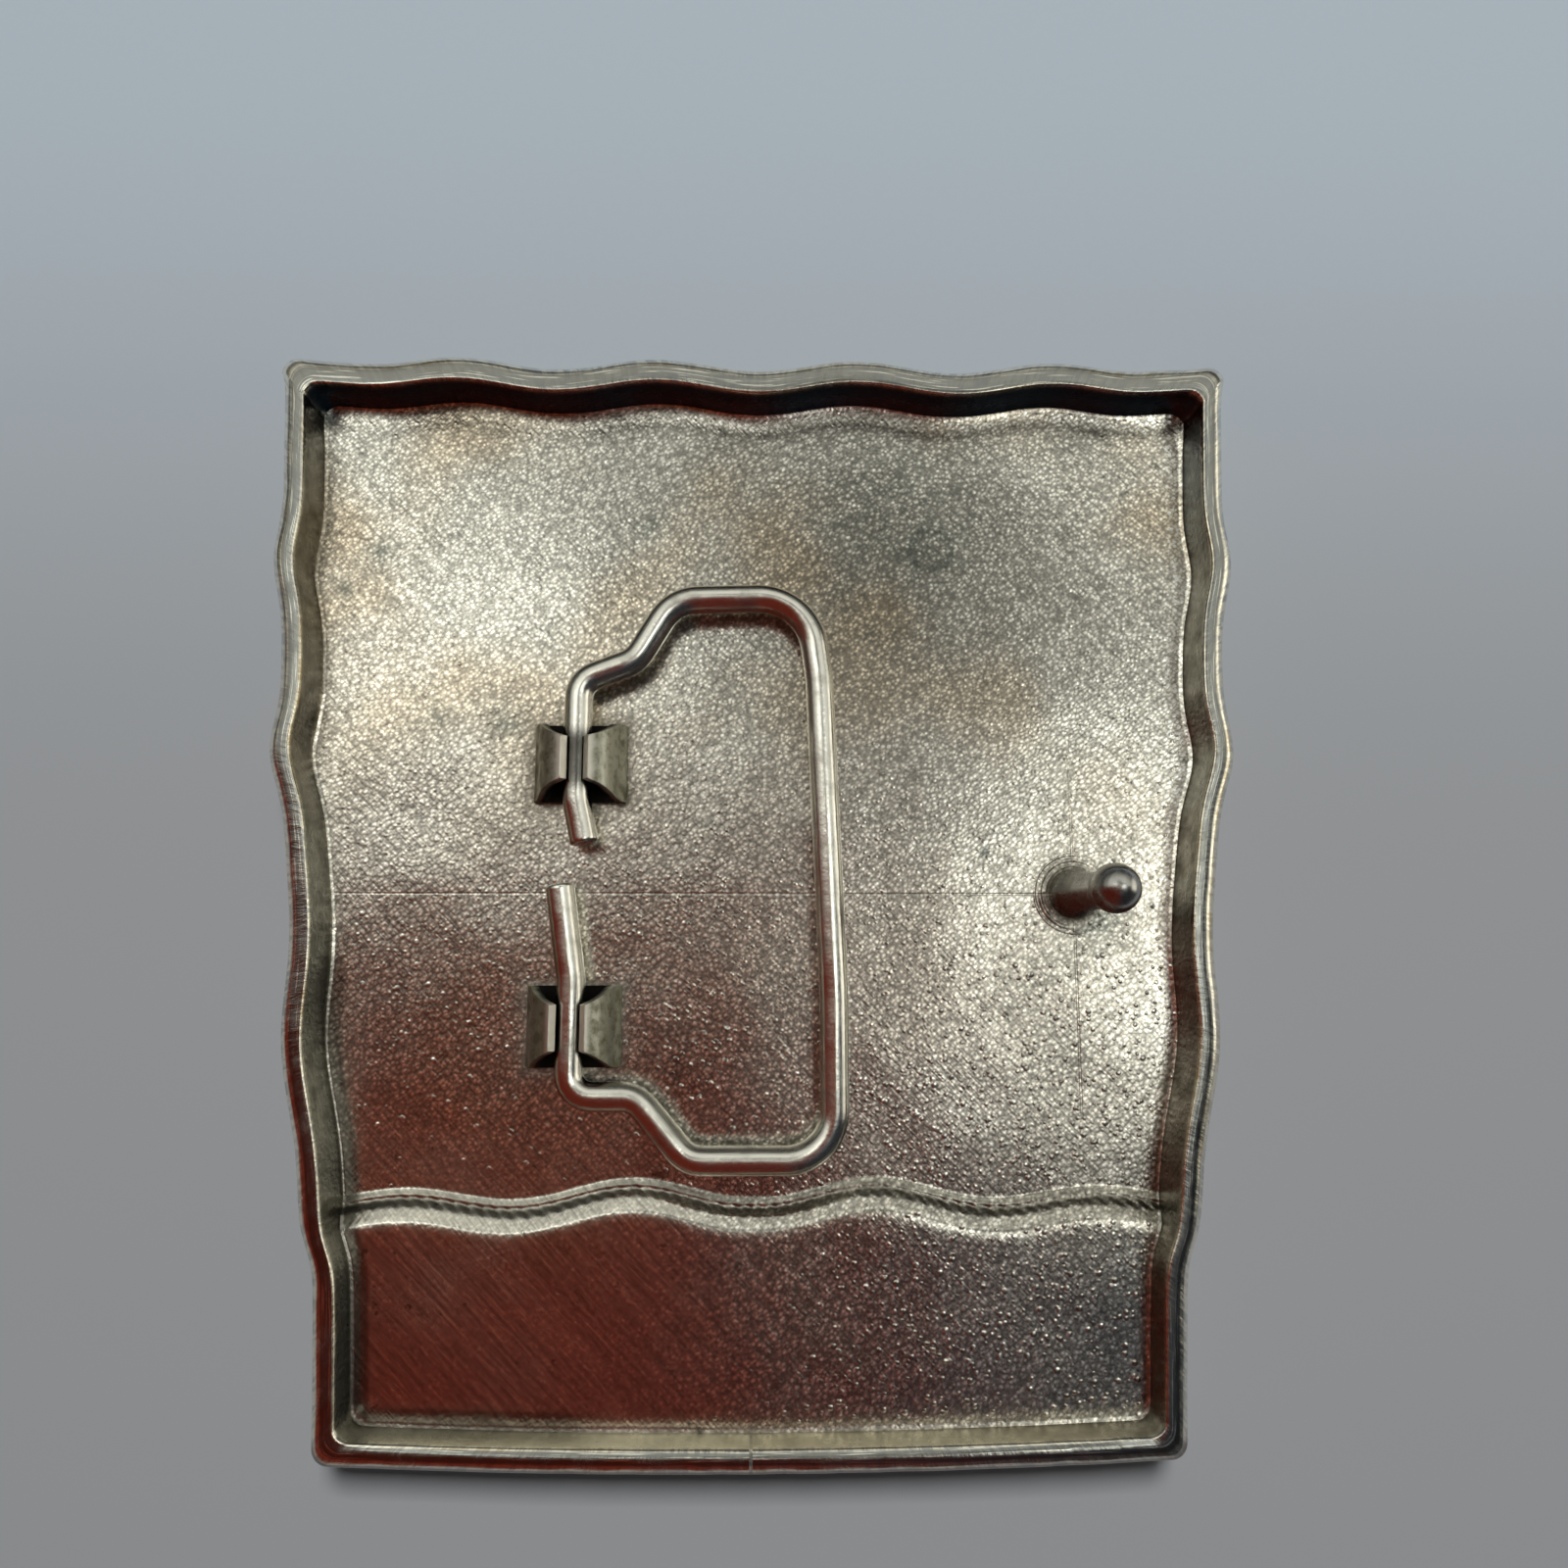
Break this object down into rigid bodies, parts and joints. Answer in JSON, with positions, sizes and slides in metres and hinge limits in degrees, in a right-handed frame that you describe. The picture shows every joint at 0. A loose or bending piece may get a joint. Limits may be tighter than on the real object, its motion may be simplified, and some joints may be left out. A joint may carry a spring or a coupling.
{
  "type": "belt buckle",
  "caption": "Cast plate belt buckle with a wavy rim, a wire bail swinging in two crimped keepers and a leaning ball-headed hook stud.",
  "frame": {"origin": "middle of the plate's outline, on the plane that the buckle's face rests on", "axes": "+Z out of the back of the buckle, +Y to its wide top edge, +X from the bail towards the hook stud"},
  "size_m": [0.076, 0.0833, 0.0105],
  "materials": {
    "cast_plate": "nickel-plated casting: polished rim, pebbled and tarnished floors",
    "keeper_metal": "dull grey plated strip",
    "stud_metal": "turned and polished, darkened",
    "bail_wire": "satin drawn wire"
  },
  "bodies": {
    "buckle": {"plate": "cast_plate", "upper_keeper": "keeper_metal", "lower_keeper": "keeper_metal", "hook_stud": "stud_metal"},
    "bail": {"bail": "bail_wire"}
  },
  "joints": [
    {"name": "bail_swing", "type": "hinge", "parent": "buckle", "child": "bail", "pos_m": [-0.01365, -0.00107, 0.0045], "axis": [0, -1, 0], "range_deg": [-3.3, 171]}
  ]
}
